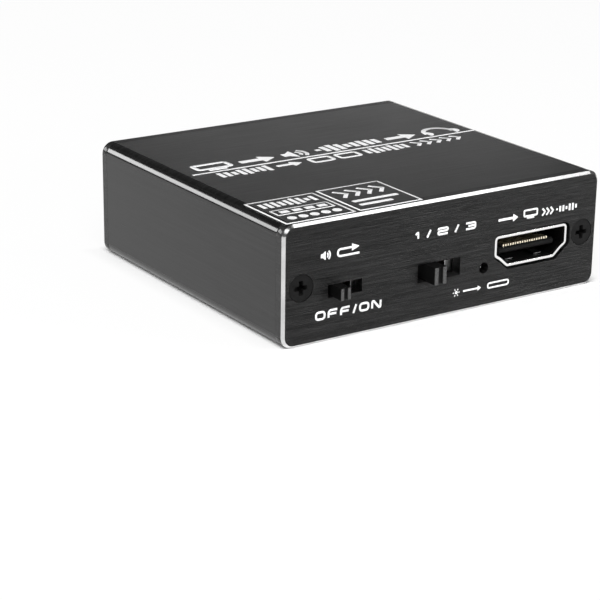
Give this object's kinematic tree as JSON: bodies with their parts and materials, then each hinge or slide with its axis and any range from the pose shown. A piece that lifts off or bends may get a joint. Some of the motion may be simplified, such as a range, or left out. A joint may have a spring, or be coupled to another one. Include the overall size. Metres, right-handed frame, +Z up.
{
  "type": "video signal audio extractor",
  "caption": "Small black metal box that takes the sound out of a video signal, with slide switches and a video socket at one end and power, headphone, optical and video sockets at the other.",
  "frame": {"origin": "on the underside of the case, in the middle of its width and of its length", "axes": "+X to the right along the input end as seen from outside it, +Y from the input end to the output end, +Z up"},
  "size_m": [0.062, 0.06, 0.0197],
  "materials": {
    "case_black": "brushed and black anodised",
    "screw_black": "black oxide",
    "board_green": "glass epoxy laminate with solder mask",
    "shell_steel": "nickel plated sheet",
    "insulator_black": "moulded, matt",
    "contact_gold": "gold plated strip",
    "jack_black": "moulded, satin",
    "shutter_black": "moulded, smooth",
    "spring_steel": "spring steel wire and pin",
    "pin_tin": "tinned strip and wire",
    "source_plastic": "dark tinted epoxy",
    "switch_steel": "tinned sheet",
    "switch_laminate": "brown phenolic laminate",
    "knob_black": "moulded, satin",
    "wiper_bronze": "bronze strip",
    "lamp_clear": "water clear epoxy",
    "chip_black": "moulded epoxy",
    "crystal_nickel": "nickel plated can",
    "ferrite_grey": "pressed ferrite",
    "can_aluminium": "bare drawn aluminium",
    "ceramic_tan": "fired ceramic with tinned ends",
    "resistor_black": "glazed ceramic with tinned ends"
  },
  "bodies": {
    "case": {"housing_sleeve": "case_black", "input_panel": "case_black", "output_panel": "case_black", "input_panel_screws": "screw_black", "output_panel_screws": "screw_black", "circuit_board": "board_green", "video_in_shell": "shell_steel", "video_in_insulator": "insulator_black", "video_in_contacts": "contact_gold", "video_out_shell": "shell_steel", "video_out_insulator": "insulator_black", "video_out_contacts": "contact_gold", "power_socket_shell": "shell_steel", "power_socket_insulator": "insulator_black", "power_socket_contacts": "contact_gold", "headphone_jack_body": "jack_black", "headphone_jack_springs": "pin_tin", "optical_jack_body": "jack_black", "optical_shutter_pin": "spring_steel", "optical_light_source": "source_plastic", "optical_source_pins": "pin_tin", "return_switch_cover": "switch_steel", "return_switch_base": "switch_laminate", "return_switch_terminals": "pin_tin", "mode_switch_cover": "switch_steel", "mode_switch_base": "switch_laminate", "mode_switch_terminals": "pin_tin", "input_lamp": "lamp_clear", "input_lamp_leads": "pin_tin", "processor_chip": "chip_black", "control_chip": "chip_black", "memory_chip": "chip_black", "audio_converter_chip": "chip_black", "chip_leads": "pin_tin", "clock_crystal": "crystal_nickel", "power_inductor": "ferrite_grey", "voltage_regulator": "chip_black", "capacitor_cans": "can_aluminium", "capacitor_bases": "chip_black", "ceramic_capacitors": "ceramic_tan", "chip_resistors": "resistor_black"},
    "return_switch_slider": {"return_switch_knob": "knob_black", "return_switch_wiper": "wiper_bronze"},
    "mode_switch_slider": {"mode_switch_knob": "knob_black", "mode_switch_wiper": "wiper_bronze"},
    "optical_flap": {"optical_shutter": "shutter_black", "optical_shutter_spring": "spring_steel"}
  },
  "joints": [
    {"name": "return_switch_slide", "type": "slide", "parent": "case", "child": "return_switch_slider", "axis": [1, 0, 0], "range_m": [0, 0.003]},
    {"name": "mode_switch_slide", "type": "slide", "parent": "case", "child": "mode_switch_slider", "axis": [1, 0, 0], "range_m": [0, 0.003]},
    {"name": "optical_shutter_swing", "type": "hinge", "parent": "case", "child": "optical_flap", "pos_m": [-0.0006, 0.02685, 0.0148], "axis": [-1, 0, 0], "range_deg": [0, 80], "stiffness_Nm_per_rad": 0.00002, "springref_deg": -57.3}
  ]
}
